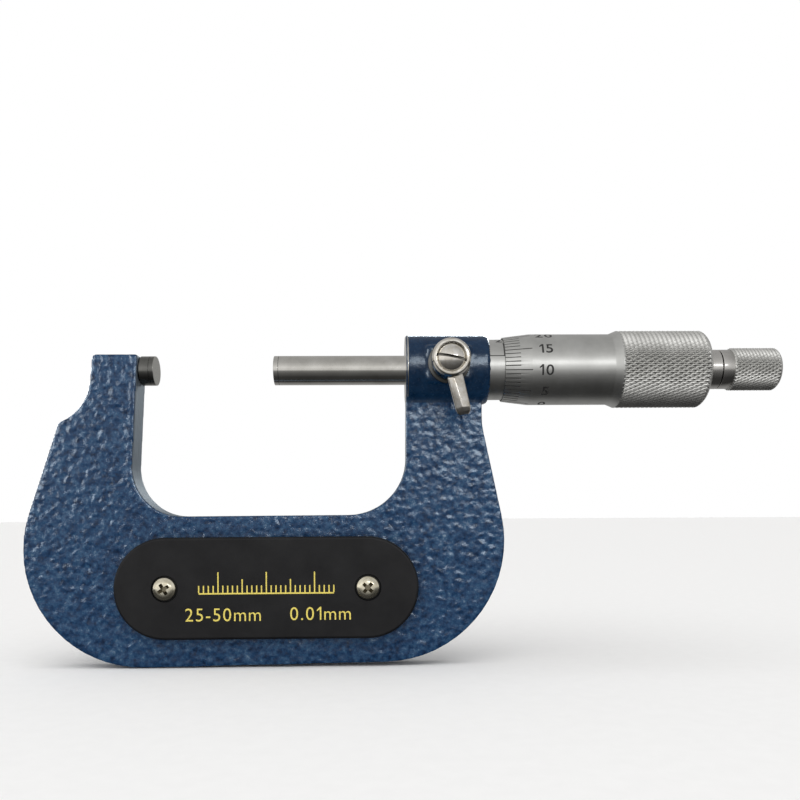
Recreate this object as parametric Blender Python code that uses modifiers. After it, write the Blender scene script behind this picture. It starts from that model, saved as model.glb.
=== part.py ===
"""Outside micrometer, 25 to 50 mm, with a C-frame, ratchet stop and spindle lock.

Millimetres in the driving dimensions, metres in the scene. +X runs along the spindle from the
anvil to the ratchet stop, +Z is up and -Y is the front. The origin is the centre of the anvil's
measuring face.
"""

import math

import bmesh
import bpy
from mathutils import Matrix, Vector

MM = 0.001
STEPS = 64
SMALL_STEPS = 32

# Fits between pieces
FACE_GAP = 0.06
FIT_GAP = 0.10
RUN_GAP = 0.15

# Reading in the rest pose, which is the gap between the measuring faces
READING = 25.1375

# Spindle and anvil
SPINDLE_R = 3.1
TIP_LENGTH = 1.0
ANVIL_HEAD = 3.05
ANVIL_SHANK_R = 2.0
ANVIL_SHANK_END = -9.6
THREAD_START = 66.0
THREAD_R = 3.5
THREAD_END = 109.0
TAPER_START = 112.0
TAPER_END = 116.6
TAPER_SMALL_R = 2.9

# Frame
FRAME_T = 7.0
FRAME_EDGE = 0.6
ARM_TOP = 3.0
ARM_LEFT = -12.6
NOTCH = (-13.65, -8.5)
NOTCH_R = 10.0
SHOULDER = (-19.72, -11.3)
BOW_BOTTOM = -62.8
BOW_SLOPE = 0.0135
BOW_LEFT_R = 24.75
BOW_RIGHT_R = 25.6
THROAT_BOTTOM = -31.12
THROAT_LEFT_R = 10.3
THROAT_RIGHT_R = 12.2
BOSS_R = 7.35
BOSS_START = 53.1
BOSS_END = 70.8
WEB_RIGHT = 69.22
WEB_WAIST = -12.0

# Lock
LOCK_X = 61.95
LOCK_Z = 0.15
PAD_FACE = 7.55
LOCK_STUD_R = 1.9
LOCK_PLUG_R = 1.4
HUB_R = 3.9
HUB_TOP = 14.6
FLANGE_R = 4.4
HUB_RECESS_R = 2.94
HUB_RECESS_FLOOR = 12.7
LEVER_REACH = 11.5
LEVER_TILT = 13.5

# Inner sleeve, outer sleeve and adjusting nut
INNER_R = 5.0
INNER_START = 55.1
INNER_END = 107.6
BEARING_END = 64.4
NUT_THREAD_START = 93.5
SLEEVE_R = 6.4
SLEEVE_START = 69.5
SLEEVE_END = 101.2
ADJUST_END_R = 4.3
ADJUST_NUT_R = 5.9
ADJUST_NUT_START = 101.9
ADJUST_NUT_END = 106.2

# Thimble
THIMBLE_EDGE = 73.8
THIMBLE_EDGE_R = 6.8
THIMBLE_R = 7.5
BEVEL_END = 79.4
THIMBLE_BORE_R = 6.6
GRIP_SLOPE = 96.65
GRIP_START = 98.2
GRIP_R = 8.2
THIMBLE_END = 117.0
WEB_START = 111.6

# Ratchet stop
NECK_R = 4.2
COLLAR_R = 4.36
SEAT_END = 120.45
KNOB_START = 120.65
KNURL_START = 123.05
KNOB_R = 4.55
KNOB_END = 133.3
STUD_R = 1.7
SHAFT_R = 1.5
SHAFT_END = 129.0
CAVITY_R = 3.4
CAVITY_END = 127.5
WEB_END = 129.1
END_RECESS_R = 2.5
TOOTH_COUNT = 12
TOOTH_HEIGHT = 0.5

# Insulating plates and their screws
PLATE_X = 23.8
PLATE_Z = -46.15
PLATE_LENGTH = 63.4
PLATE_HEIGHT = 21.3
PLATE_T = 1.8
SCREW_SPACING = 42.2
SCREW_R = 1.0
SCREW_HEAD_R = 2.4
SCREW_HEAD_H = 1.25
SCREW_SEAT = 0.35
SCREW_LENGTH = 4.6

ALONG_X = Matrix.Rotation(math.radians(90), 4, "Y")
TO_FRONT = Matrix.Rotation(math.radians(90), 4, "X")
TO_BACK = Matrix.Rotation(math.radians(-90), 4, "X")


def clear_scene():
    for obj in list(bpy.data.objects):
        bpy.data.objects.remove(obj, do_unlink=True)
    for group in list(bpy.data.collections):
        bpy.data.collections.remove(group)


def new_collection(name):
    group = bpy.data.collections.new(name)
    bpy.context.scene.collection.children.link(group)
    return group


def material(name, colour, roughness, metallic):
    """One Principled material with the piece's colour and finish."""
    made = bpy.data.materials.get(name)
    if made:
        return made
    made = bpy.data.materials.new(name)
    made.use_nodes = True
    shader = made.node_tree.nodes["Principled BSDF"]
    shader.inputs["Base Color"].default_value = (*colour, 1.0)
    shader.inputs["Roughness"].default_value = roughness
    shader.inputs["Metallic"].default_value = metallic
    return made


def blue_enamel():
    return material("blue_enamel", (0.035, 0.095, 0.22), 0.3, 0.0)


def ground_steel():
    return material("ground_steel", (0.56, 0.54, 0.50), 0.25, 1.0)


def carbide():
    return material("carbide", (0.42, 0.41, 0.39), 0.3, 1.0)


def satin_chrome():
    return material("satin_chrome", (0.72, 0.72, 0.72), 0.4, 1.0)


def nickel():
    return material("nickel", (0.66, 0.62, 0.55), 0.2, 1.0)


def brass():
    return material("brass", (0.70, 0.52, 0.22), 0.35, 1.0)


def black_plastic():
    return material("black_plastic", (0.02, 0.02, 0.022), 0.5, 0.0)


def spring_steel():
    return material("spring_steel", (0.40, 0.40, 0.42), 0.35, 1.0)


def add_object(name, mesh, group, finish=None, place=Matrix.Identity(4)):
    """Links a mesh into a collection with its finish, standing where the matrix says."""
    obj = bpy.data.objects.new(name, mesh)
    group.objects.link(obj)
    obj.matrix_world = place
    if finish:
        mesh.materials.append(finish)
    return obj


def at(x, y, z, turn=Matrix.Identity(4)):
    return Matrix.Translation((x * MM, y * MM, z * MM)) @ turn


def turned(name, outline, group, finish=None, place=ALONG_X, steps=STEPS, closed=False):
    """A lathe piece. The outline is (radius, length) in mm, from its far end to its near end."""
    mesh = bpy.data.meshes.new(name)
    corners = [(radius * MM, 0.0, length * MM) for radius, length in outline]
    edges = [(i, i + 1) for i in range(len(corners) - 1)]
    if closed:
        edges.append((len(corners) - 1, 0))
    mesh.from_pydata(corners, edges, [])
    obj = add_object(name, mesh, group, finish, place)
    screw = obj.modifiers.new("lathe", "SCREW")
    screw.axis = "Z"
    screw.steps = steps
    screw.render_steps = steps
    screw.use_merge_vertices = True
    screw.merge_threshold = 0.000001
    screw.use_smooth_shade = True
    return obj


def solid_bar(name, radius, start, end, group, finish=None, place=ALONG_X, steps=STEPS):
    """A plain cylinder between two places on its axis."""
    outline = [(0, end), (radius, end), (radius, start), (0, start)]
    return turned(name, outline, group, finish, place, steps)


def block(name, low, high, group, finish=None, turn=Matrix.Identity(4)):
    """A box between two corners given in mm, turned about the origin."""
    mesh = bpy.data.meshes.new(name)
    cage = bmesh.new()
    bmesh.ops.create_cube(cage, size=1.0)
    size = [(b - a) * MM for a, b in zip(low, high)]
    middle = [(a + b) / 2 * MM for a, b in zip(low, high)]
    bmesh.ops.scale(cage, vec=size, verts=cage.verts)
    bmesh.ops.translate(cage, vec=middle, verts=cage.verts)
    cage.to_mesh(mesh)
    cage.free()
    return add_object(name, mesh, group, finish, turn)


def boolean(obj, other, operation="DIFFERENCE"):
    step = obj.modifiers.new(other.name, "BOOLEAN")
    step.operation = operation
    step.solver = "EXACT"
    step.object = other


def bevel(obj, width, segments=2, angle=40):
    step = obj.modifiers.new("rounded_edges", "BEVEL")
    step.width = width * MM
    step.segments = segments
    step.limit_method = "ANGLE"
    step.angle_limit = math.radians(angle)


def rounded_outline(corners, degrees_per_step=6):
    """Points of a closed outline whose corners (x, z, radius) are rounded by arcs."""
    points = []
    count = len(corners)
    for i, (x, z, radius) in enumerate(corners):
        corner = Vector((x, z))
        back = (Vector(corners[i - 1][:2]) - corner).normalized()
        ahead = (Vector(corners[(i + 1) % count][:2]) - corner).normalized()
        if radius == 0:
            points.append(corner)
            continue
        half = math.acos(max(-1.0, min(1.0, back.dot(ahead)))) / 2
        centre = corner + (back + ahead).normalized() * (radius / math.sin(half))
        begin = corner + back * (radius / math.tan(half)) - centre
        turn = math.pi - 2 * half
        if back.x * ahead.y - back.y * ahead.x > 0:
            turn = -turn
        steps = max(2, round(math.degrees(abs(turn)) / degrees_per_step))
        for k in range(steps + 1):
            swing = Matrix.Rotation(turn * k / steps, 2)
            points.append(centre + swing @ begin)
    return points


def flat_piece(name, outline, thickness, group, finish=None, place=TO_FRONT):
    """A plate cut to an outline in its own XY plane, centred on its thickness."""
    curve = bpy.data.curves.new(name, "CURVE")
    curve.dimensions = "2D"
    curve.fill_mode = "BOTH"
    curve.extrude = thickness / 2 * MM
    spline = curve.splines.new("POLY")
    spline.points.add(len(outline) - 1)
    for point, (x, y) in zip(spline.points, outline):
        point.co = (x * MM, y * MM, 0.0, 1.0)
    spline.use_cyclic_u = True
    drawn = bpy.data.objects.new(name + "_outline", curve)
    mesh = bpy.data.meshes.new_from_object(drawn)
    bpy.data.objects.remove(drawn)
    cage = bmesh.new()
    cage.from_mesh(mesh)
    bmesh.ops.remove_doubles(cage, verts=cage.verts, dist=0.000001)
    cage.to_mesh(mesh)
    cage.free()
    mesh.name = name
    return add_object(name, mesh, group, finish, place)


def frame_outline():
    """The C-frame's side view, clockwise from the top of the anvil arm."""
    shoulder_x, shoulder_z = SHOULDER
    left_slope = 0.333
    right_slope = 0.207
    left_x = shoulder_x - left_slope * (shoulder_z - BOW_BOTTOM)
    right_x = WEB_RIGHT + right_slope * (WEB_WAIST - BOW_BOTTOM)
    return rounded_outline([
        (ARM_LEFT, ARM_TOP, 0.8),
        (-3.12, ARM_TOP, 0.4),
        (-4.9, THROAT_BOTTOM, THROAT_LEFT_R),
        (BOSS_START - 0.12, THROAT_BOTTOM + 0.15, THROAT_RIGHT_R),
        (BOSS_START + 0.05, 0.0, 0),
        (WEB_RIGHT, 0.0, 0),
        (WEB_RIGHT, WEB_WAIST, 12.0),
        (right_x, BOW_BOTTOM + BOW_SLOPE * right_x, BOW_RIGHT_R),
        (left_x, BOW_BOTTOM + BOW_SLOPE * left_x, BOW_LEFT_R),
        (shoulder_x, shoulder_z, 1.0),
        (*NOTCH, NOTCH_R),
    ])


def lock_pad(group):
    """The raised seat on the front of the boss that the lock hub stands over."""
    pad = block("lock_pad", (LOCK_X - 4.9, -PAD_FACE, LOCK_Z - 4.0),
                (LOCK_X + 4.9, -4.5, LOCK_Z + 4.0), group)
    bevel(pad, 0.9, 2)
    return pad


def plate_screw_places():
    return [PLATE_X - SCREW_SPACING / 2, PLATE_X + SCREW_SPACING / 2]


def make_frame(group, cutters):
    """Cast C-frame: flat bow and arms, a round boss, and every bore in them."""
    frame = flat_piece("frame", frame_outline(), FRAME_T, group, blue_enamel())
    bevel(frame, FRAME_EDGE, 2, 60)
    boss = turned(
        "boss",
        [(0, BOSS_END), (BOSS_R - 0.9, BOSS_END), (BOSS_R - 0.25, BOSS_END - 0.25),
         (BOSS_R, BOSS_END - 0.9), (BOSS_R, BOSS_START + 0.2), (BOSS_R - 0.2, BOSS_START),
         (0, BOSS_START)],
        cutters,
    )
    boolean(frame, boss, "UNION")
    boolean(frame, lock_pad(cutters), "UNION")
    bores = turned(
        "boss_bore",
        [(0, BOSS_END + 1), (SLEEVE_R + FIT_GAP, BOSS_END + 1),
         (SLEEVE_R + FIT_GAP, SLEEVE_START - FACE_GAP), (INNER_R + FIT_GAP, SLEEVE_START - FACE_GAP),
         (INNER_R + FIT_GAP, INNER_START - FACE_GAP), (SPINDLE_R + RUN_GAP, INNER_START - FACE_GAP),
         (SPINDLE_R + RUN_GAP, BOSS_START - 1), (0, BOSS_START - 1)],
        cutters,
    )
    boolean(frame, bores)
    anvil_hole = solid_bar(
        "anvil_hole", ANVIL_SHANK_R + FIT_GAP, ANVIL_SHANK_END - 0.2, 0.0, cutters)
    boolean(frame, anvil_hole)
    lock_hole = solid_bar(
        "lock_hole", LOCK_STUD_R + FIT_GAP, 4.0, PAD_FACE + 1, cutters,
        place=at(LOCK_X, 0, LOCK_Z, TO_FRONT), steps=SMALL_STEPS)
    boolean(frame, lock_hole)
    for number, x in enumerate(plate_screw_places(), 1):
        hole = solid_bar(
            f"frame_screw_hole_{number}", SCREW_R + FIT_GAP, -FRAME_T, FRAME_T, cutters,
            place=at(x, 0, PLATE_Z, TO_FRONT), steps=SMALL_STEPS)
        boolean(frame, hole)


def make_anvil(group):
    turned(
        "anvil",
        [(0, -TIP_LENGTH - FACE_GAP), (SPINDLE_R, -TIP_LENGTH - FACE_GAP),
         (SPINDLE_R, -ANVIL_HEAD + 0.1), (SPINDLE_R - 0.1, -ANVIL_HEAD),
         (ANVIL_SHANK_R, -ANVIL_HEAD), (ANVIL_SHANK_R, ANVIL_SHANK_END + 0.3),
         (ANVIL_SHANK_R - 0.3, ANVIL_SHANK_END), (0, ANVIL_SHANK_END)],
        group, ground_steel())
    turned(
        "anvil_tip",
        [(0, 0), (SPINDLE_R - 0.12, 0), (SPINDLE_R, -0.12), (SPINDLE_R, -TIP_LENGTH),
         (0, -TIP_LENGTH)],
        group, carbide())


def make_spindle(group):
    """Measuring spindle: carbide tip, ground shank, screw, and a taper for the thimble."""
    face = READING
    turned(
        "spindle_tip",
        [(0, face + TIP_LENGTH), (SPINDLE_R, face + TIP_LENGTH), (SPINDLE_R, face + 0.12),
         (SPINDLE_R - 0.12, face), (0, face)],
        group, carbide())
    hole_r = STUD_R + FIT_GAP
    turned(
        "spindle",
        [(0, TAPER_END - 9.0), (hole_r, TAPER_END - 8.6), (hole_r, TAPER_END),
         (TAPER_SMALL_R, TAPER_END), (THREAD_R, TAPER_START),
         (THREAD_R - 0.4, TAPER_START - 0.4), (THREAD_R - 0.4, THREAD_END + 0.4),
         (THREAD_R, THREAD_END), (THREAD_R, THREAD_START + 0.4), (SPINDLE_R, THREAD_START),
         (SPINDLE_R, face + TIP_LENGTH + FACE_GAP), (0, face + TIP_LENGTH + FACE_GAP)],
        group, ground_steel())


def make_inner_sleeve(group, cutters):
    """Bearing and nut body of the spindle, split at its threaded end."""
    sleeve = turned(
        "inner_sleeve",
        [(THREAD_R + RUN_GAP, INNER_END), (ADJUST_END_R, INNER_END),
         (ADJUST_END_R, SLEEVE_END + 0.2), (INNER_R, SLEEVE_END - 0.5), (INNER_R, INNER_START),
         (SPINDLE_R + RUN_GAP, INNER_START), (SPINDLE_R + RUN_GAP, BEARING_END),
         (THREAD_R + 0.5, BEARING_END + 0.8), (THREAD_R + 0.5, NUT_THREAD_START),
         (THREAD_R + RUN_GAP, NUT_THREAD_START + 0.5)],
        group, ground_steel(), closed=True)
    for number in range(3):
        turn = Matrix.Rotation(math.radians(120 * number + 30), 4, "X")
        slit = block(
            f"nut_slit_{number + 1}", (NUT_THREAD_START + 2.5, -0.3, 2.0),
            (INNER_END + 1, 0.3, 6.0), cutters, turn=turn)
        boolean(sleeve, slit)
    plug_hole = solid_bar(
        "plug_hole", LOCK_PLUG_R + FIT_GAP, 2.5, 6.0, cutters,
        place=at(LOCK_X, 0, LOCK_Z, TO_FRONT), steps=SMALL_STEPS)
    boolean(sleeve, plug_hole)


def make_outer_sleeve(group, cutters):
    """The graduated sleeve, with the small hole that a hook spanner turns it by."""
    bore = INNER_R + FIT_GAP
    sleeve = turned(
        "outer_sleeve",
        [(bore, SLEEVE_END), (SLEEVE_R - 0.2, SLEEVE_END), (SLEEVE_R, SLEEVE_END - 0.2),
         (SLEEVE_R, SLEEVE_START), (bore, SLEEVE_START)],
        group, satin_chrome(), closed=True)
    spanner_hole = solid_bar(
        "spanner_hole", 0.6, 5.8, 8.0, cutters, place=at(72.2, 0, 0, TO_BACK), steps=24)
    boolean(sleeve, spanner_hole)


def make_adjusting_nut(group, cutters):
    bore = ADJUST_END_R + FIT_GAP
    nut = turned(
        "adjusting_nut",
        [(bore, ADJUST_NUT_END), (ADJUST_NUT_R - 0.3, ADJUST_NUT_END),
         (ADJUST_NUT_R, ADJUST_NUT_END - 0.3), (ADJUST_NUT_R, ADJUST_NUT_START + 0.3),
         (ADJUST_NUT_R - 0.3, ADJUST_NUT_START), (bore, ADJUST_NUT_START)],
        group, ground_steel(), closed=True)
    middle = (ADJUST_NUT_START + ADJUST_NUT_END) / 2
    cross_hole = solid_bar(
        "nut_spanner_holes", 0.6, -8.0, 8.0, cutters, place=at(middle, 0, 0), steps=24)
    boolean(nut, cross_hole)


def make_thimble(group):
    """Bevelled thimble with its grip, seated on the spindle's taper."""
    slope = (THREAD_R - TAPER_SMALL_R) / (TAPER_END - TAPER_START)
    wide = THREAD_R + FIT_GAP + slope * (TAPER_START - WEB_START)
    narrow = THREAD_R + FIT_GAP - slope * (THIMBLE_END - TAPER_START)
    turned(
        "thimble",
        [(narrow, THIMBLE_END), (GRIP_R - 0.7, THIMBLE_END), (GRIP_R, THIMBLE_END - 0.6),
         (GRIP_R, GRIP_START + 0.1), (GRIP_R - 0.1, GRIP_START), (THIMBLE_R, GRIP_SLOPE),
         (THIMBLE_R, BEVEL_END), (THIMBLE_EDGE_R, THIMBLE_EDGE), (THIMBLE_BORE_R, THIMBLE_EDGE),
         (THIMBLE_BORE_R, WEB_START - 0.4), (THIMBLE_BORE_R - 0.4, WEB_START),
         (wide, WEB_START)],
        group, satin_chrome(), closed=True)


def ratchet_teeth(name, face, direction, cutters):
    """A ring of slanted bars that, cut from a flat face, leave ratchet teeth on it."""
    mesh = bpy.data.meshes.new(name)
    cage = bmesh.new()
    for number in range(TOOTH_COUNT):
        bar = bmesh.ops.create_cube(cage, size=1.0)["verts"]
        bmesh.ops.scale(cage, vec=(TOOTH_HEIGHT * 1.6 * MM, 0.4 * MM, 3.0 * MM), verts=bar)
        slant = Matrix.Rotation(math.radians(25), 4, "Z")
        outward = Matrix.Translation((0, 0, 3.3 * MM))
        spin = Matrix.Rotation(math.tau * number / TOOTH_COUNT, 4, "X")
        bmesh.ops.transform(cage, matrix=spin @ outward @ slant, verts=bar)
    cage.to_mesh(mesh)
    cage.free()
    return add_object(name, mesh, cutters, place=at(face + direction * 0.05, 0, 0))


def make_ratchet_shaft(group, cutters):
    """Flanged stud that clamps the thimble and carries the fixed ring of ratchet teeth."""
    screw_hole = 0.9
    crown = SEAT_END + TOOTH_HEIGHT
    shaft = turned(
        "ratchet_shaft",
        [(0, SHAFT_END - 6.6), (screw_hole, SHAFT_END - 6.2), (screw_hole, SHAFT_END),
         (SHAFT_R, SHAFT_END), (SHAFT_R, crown), (3.0, crown), (3.0, SEAT_END),
         (NECK_R - 0.1, SEAT_END), (NECK_R, SEAT_END - 0.1), (NECK_R, THIMBLE_END + FACE_GAP),
         (TAPER_SMALL_R - 0.3, THIMBLE_END + FACE_GAP), (STUD_R, THIMBLE_END - 0.2),
         (STUD_R, TAPER_END - 7.9), (0, TAPER_END - 8.3)],
        group, nickel())
    boolean(shaft, ratchet_teeth("seat_tooth_cuts", crown, 1, cutters))


def make_ratchet_disc(group, cutters):
    """Sliding disc whose teeth ride over the fixed ring, keyed to the knob by two lugs."""
    near = SEAT_END + TOOTH_HEIGHT + FACE_GAP
    far = near + 1.6
    disc = turned(
        "ratchet_disc",
        [(SHAFT_R + RUN_GAP, far), (3.0, far), (3.0, near), (SHAFT_R + RUN_GAP, near)],
        group, ground_steel(), closed=True)
    boolean(disc, ratchet_teeth("disc_tooth_cuts", near, -1, cutters))


def make_ratchet_spring(group):
    """Compression spring that presses the disc onto the fixed teeth."""
    near = SEAT_END + TOOTH_HEIGHT + 2.1
    far = CAVITY_END - 0.35
    turns = 5
    per_turn = 20
    curve = bpy.data.curves.new("ratchet_spring", "CURVE")
    curve.dimensions = "3D"
    curve.bevel_depth = 0.25 * MM
    curve.bevel_resolution = 2
    curve.use_fill_caps = True
    spline = curve.splines.new("POLY")
    spline.points.add(turns * per_turn)
    for k, point in enumerate(spline.points):
        angle = math.tau * k / per_turn
        x = near + 0.1 + (far - near - 0.2) * k / (turns * per_turn)
        point.co = (x * MM, 2.4 * MM * math.cos(angle), 2.4 * MM * math.sin(angle), 1.0)
    obj = bpy.data.objects.new("ratchet_spring", curve)
    curve.materials.append(spring_steel())
    group.objects.link(obj)


def make_ratchet_knob(group):
    """Knurled cap with its neck, a cavity for the spring and a recess for the end screw."""
    turned(
        "ratchet_knob",
        [(END_RECESS_R, KNOB_END), (KNOB_R - 0.6, KNOB_END), (KNOB_R, KNOB_END - 0.6),
         (KNOB_R, KNURL_START + 0.2), (COLLAR_R, KNURL_START), (COLLAR_R, KNOB_START + 0.1),
         (COLLAR_R - 0.1, KNOB_START), (CAVITY_R, KNOB_START), (CAVITY_R, CAVITY_END),
         (SHAFT_R + RUN_GAP, CAVITY_END), (SHAFT_R + RUN_GAP, WEB_END),
         (END_RECESS_R, WEB_END)],
        group, satin_chrome(), closed=True)


def make_end_screw(group, cutters):
    """Slotted screw in the shaft's end that keeps the knob on."""
    head = WEB_END + FACE_GAP
    top = head + 1.3
    screw = turned(
        "ratchet_end_screw",
        [(0, top), (2.0, top), (2.25, top - 0.25), (2.25, head), (0.8, head),
         (0.8, SHAFT_END - 5.8), (0, SHAFT_END - 6.1)],
        group, nickel(), steps=SMALL_STEPS)
    slot = block("end_screw_slot", (top - 0.5, -3.0, -0.28), (top + 1, 3.0, 0.28), cutters)
    boolean(screw, slot)


def make_lock(group, cutters):
    """Spindle lock: plug, threaded stud, lever with its hub, and the slotted screw on top."""
    front = at(LOCK_X, 0, LOCK_Z, TO_FRONT)
    plug_near = SPINDLE_R + 0.35
    turned(
        "lock_plug",
        [(0, 6.0), (LOCK_PLUG_R, 6.0), (LOCK_PLUG_R, plug_near + 0.2),
         (LOCK_PLUG_R - 0.2, plug_near), (0, plug_near)],
        group, brass(), front, SMALL_STEPS)
    stud_top = HUB_RECESS_FLOOR - 0.25
    turned(
        "lock_stud",
        [(0, 9.1), (1.05, 9.4), (1.05, stud_top), (LOCK_STUD_R, stud_top), (LOCK_STUD_R, 6.5),
         (LOCK_STUD_R - 0.3, 6.2), (0, 6.2)],
        group, ground_steel(), front, SMALL_STEPS)
    make_lock_lever(group, cutters, front)
    head = HUB_RECESS_FLOOR + FACE_GAP
    dome = [(2.75 * math.cos(math.radians(a)), 14.15 + 0.65 * math.sin(math.radians(a)))
            for a in range(90, -1, -15)]
    dome[0] = (0, dome[0][1])
    screw = turned(
        "lock_screw",
        dome + [(2.75, head), (0.95, head), (0.95, 9.9), (0, 9.6)],
        group, nickel(), front, SMALL_STEPS)
    slot = block(
        "lock_screw_slot", (-3.2, -0.35, 14.2), (3.2, 0.35, 16.0), cutters,
        turn=front @ Matrix.Rotation(math.radians(-10), 4, "Z"))
    boolean(screw, slot)


def make_lock_lever(group, cutters, front):
    """Round hub and faceted arm in one piece, turned about the lock's own axis."""
    swing = front @ Matrix.Rotation(math.radians(LEVER_TILT), 4, "Z")
    hub_foot = PAD_FACE + 0.15
    lever = turned(
        "lock_lever",
        [(HUB_RECESS_R, HUB_TOP), (HUB_R - 0.25, HUB_TOP), (HUB_R, HUB_TOP - 0.25),
         (HUB_R, hub_foot + 0.8), (FLANGE_R, hub_foot + 0.6), (FLANGE_R, hub_foot),
         (LOCK_STUD_R + FIT_GAP, hub_foot), (LOCK_STUD_R + FIT_GAP, HUB_RECESS_FLOOR),
         (HUB_RECESS_R, HUB_RECESS_FLOOR)],
        group, nickel(), swing, closed=True)
    arm = block("lever_arm", (-1.45, -LEVER_REACH, 10.2), (1.45, -HUB_R + 0.5, 13.0), cutters,
                turn=swing)
    bevel(arm, 0.85, 1)
    boolean(lever, arm, "UNION")


def stadium(length, height, steps=24):
    """Outline of a plate with two straight sides and round ends."""
    radius = height / 2
    reach = length / 2 - radius
    points = []
    for side in (1, -1):
        for k in range(steps + 1):
            angle = math.radians(-90 + 180 * k / steps)
            points.append((side * (reach + radius * math.cos(angle)), side * radius * math.sin(angle)))
    return points


def make_plate(name, side, group, cutters):
    """Black insulating plate on one face of the bow. Side is -1 at the front, 1 at the back."""
    middle = side * (FRAME_T / 2 + FACE_GAP + PLATE_T / 2)
    plate = flat_piece(
        name, stadium(PLATE_LENGTH, PLATE_HEIGHT), PLATE_T, group, black_plastic(),
        at(PLATE_X, middle, PLATE_Z, TO_FRONT))
    bevel(plate, 0.5, 3, 60)
    outer = FRAME_T / 2 + FACE_GAP + PLATE_T
    turn = TO_FRONT if side < 0 else TO_BACK
    for number, x in enumerate(plate_screw_places(), 1):
        seat = turned(
            f"{name}_hole_{number}",
            [(0, outer + 1), (SCREW_HEAD_R + 0.25, outer + 1),
             (SCREW_HEAD_R + 0.25, outer - SCREW_SEAT), (SCREW_R + FIT_GAP, outer - SCREW_SEAT),
             (SCREW_R + FIT_GAP, 1), (0, 1)],
            cutters, place=at(x, 0, PLATE_Z, turn), steps=SMALL_STEPS)
        boolean(plate, seat)


def make_plate_screw(name, x, side, cross_angle, group, cutters):
    """Round-head cross-recess screw that holds an insulating plate."""
    turn = TO_FRONT if side < 0 else TO_BACK
    place = at(x, 0, PLATE_Z, turn)
    seat = FRAME_T / 2 + 2 * FACE_GAP + PLATE_T - SCREW_SEAT
    rim = seat + 0.35
    dome = [(SCREW_HEAD_R * math.cos(math.radians(a)),
             rim + (SCREW_HEAD_H - 0.35) * math.sin(math.radians(a))) for a in range(90, -1, -15)]
    dome[0] = (0, dome[0][1])
    screw = turned(
        name,
        dome + [(SCREW_HEAD_R, seat), (SCREW_R, seat), (SCREW_R, seat - SCREW_LENGTH + 0.3),
                (0, seat - SCREW_LENGTH)],
        group, nickel(), place, SMALL_STEPS)
    for bar in range(2):
        cross = place @ Matrix.Rotation(math.radians(cross_angle + 90 * bar), 4, "Z")
        groove = block(
            f"{name}_cross_{bar + 1}", (-1.3, -0.3, seat + 0.45), (1.3, 0.3, seat + 3),
            cutters, turn=cross)
        boolean(screw, groove)


def make_plates(group, cutters):
    for label, side in (("front", -1), ("rear", 1)):
        make_plate(f"{label}_plate", side, group, cutters)
        for end, x, cross_angle in zip(("left", "right"), plate_screw_places(), (32, 48)):
            make_plate_screw(f"{label}_plate_screw_{end}", x, side, cross_angle, group, cutters)


def shade_round():
    """Smooth shading on the pieces."""
    for obj in bpy.data.objects:
        if obj.type == "MESH" and not obj.hide_render:
            for face in obj.data.polygons:
                face.use_smooth = True


def main():
    clear_scene()
    group = new_collection("outside_micrometer")
    cutters = new_collection("cutters")
    make_frame(group, cutters)
    make_anvil(group)
    make_spindle(group)
    make_inner_sleeve(group, cutters)
    make_outer_sleeve(group, cutters)
    make_adjusting_nut(group, cutters)
    make_thimble(group)
    make_ratchet_shaft(group, cutters)
    make_ratchet_disc(group, cutters)
    make_ratchet_spring(group)
    make_ratchet_knob(group)
    make_end_screw(group, cutters)
    make_lock(group, cutters)
    make_plates(group, cutters)
    for obj in cutters.objects:
        obj.hide_render = True
        obj.display_type = "WIRE"
    shade_round()


main()
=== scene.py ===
"""Looks of the outside micrometer: detailed pieces, materials, light and camera.

Outlines are in millimetres and the scene is in metres. +X runs along the spindle from the anvil
to the ratchet stop, +Z is up and -Y is the front. A place on a turned piece is (x, radius), and
its angle is an elevation: 0 at the front, 90 degrees on top.
"""

import math

import bmesh
import bpy
import numpy as np
from mathutils import Matrix, Vector, noise


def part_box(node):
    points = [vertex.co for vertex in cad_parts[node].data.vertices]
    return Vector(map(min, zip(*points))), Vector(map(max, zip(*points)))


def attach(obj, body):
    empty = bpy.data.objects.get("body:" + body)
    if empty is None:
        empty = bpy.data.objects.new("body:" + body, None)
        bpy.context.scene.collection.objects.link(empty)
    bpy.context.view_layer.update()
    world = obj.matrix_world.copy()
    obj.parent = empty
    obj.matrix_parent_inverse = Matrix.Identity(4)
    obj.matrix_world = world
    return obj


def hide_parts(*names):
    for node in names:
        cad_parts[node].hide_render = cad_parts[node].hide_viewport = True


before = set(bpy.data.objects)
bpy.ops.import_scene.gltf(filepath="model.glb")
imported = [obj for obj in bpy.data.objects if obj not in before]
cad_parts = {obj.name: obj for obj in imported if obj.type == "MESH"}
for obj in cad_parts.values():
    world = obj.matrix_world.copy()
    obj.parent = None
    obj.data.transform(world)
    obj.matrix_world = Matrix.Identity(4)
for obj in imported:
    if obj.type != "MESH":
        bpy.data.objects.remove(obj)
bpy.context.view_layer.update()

MM = 0.001
HOLD = 0.04
HAMMER_SEED = 7
INDEX_ANGLE = 17.5
READING = 25.1375
RANGE_LOW = 25
RANGE_HIGH = 50
DIVISIONS = 50

ALONG_X = Matrix.Identity(4)
TO_FRONT = Matrix.Rotation(math.radians(-90), 4, "Z")
TO_BACK = Matrix.Rotation(math.radians(90), 4, "Z")


# ---------------------------------------------------------------- places taken from the frame

def span(node):
    """Lowest and highest corner of a CAD node, in mm."""
    low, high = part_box(node)
    return low / MM, high / MM


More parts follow.
